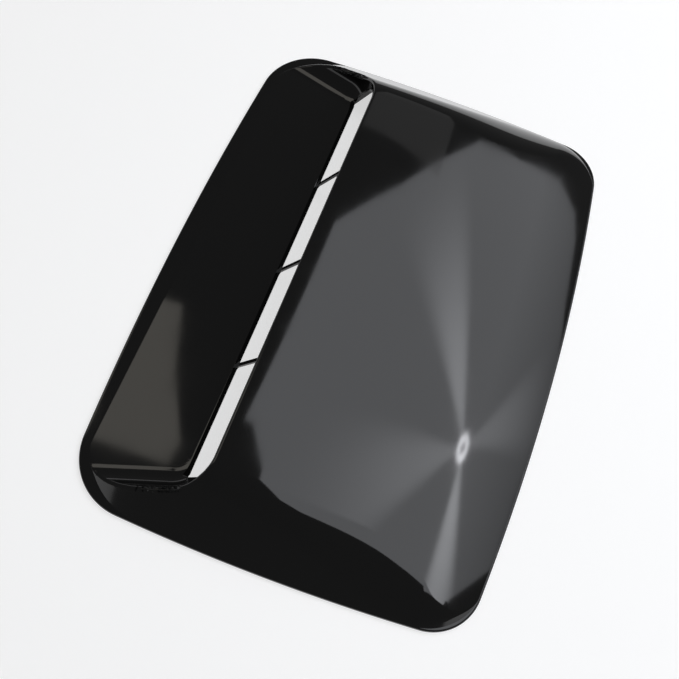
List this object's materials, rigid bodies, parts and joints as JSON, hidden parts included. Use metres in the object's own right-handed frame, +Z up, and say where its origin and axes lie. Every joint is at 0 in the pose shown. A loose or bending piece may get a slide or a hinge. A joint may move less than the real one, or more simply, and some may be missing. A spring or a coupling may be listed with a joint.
{
  "type": "bonnet vent",
  "caption": "Low wedge-shaped bonnet vent with a flat rim, a sunken ramp and a wide ribbed mouth, moulded in one gloss black piece and open underneath.",
  "frame": {"origin": "centre of the flat underside, on the plane of the bonnet", "axes": "+X along the mouth, +Y from the mouth to the rear edge, +Z up from the bonnet"},
  "size_m": [0.34, 0.245, 0.0345],
  "materials": {
    "gloss_black_abs": "injection-moulded black ABS with a polished, mirror-like outside"
  },
  "bodies": {
    "root": {"vent_shell": "gloss_black_abs"}
  },
  "joints": []
}
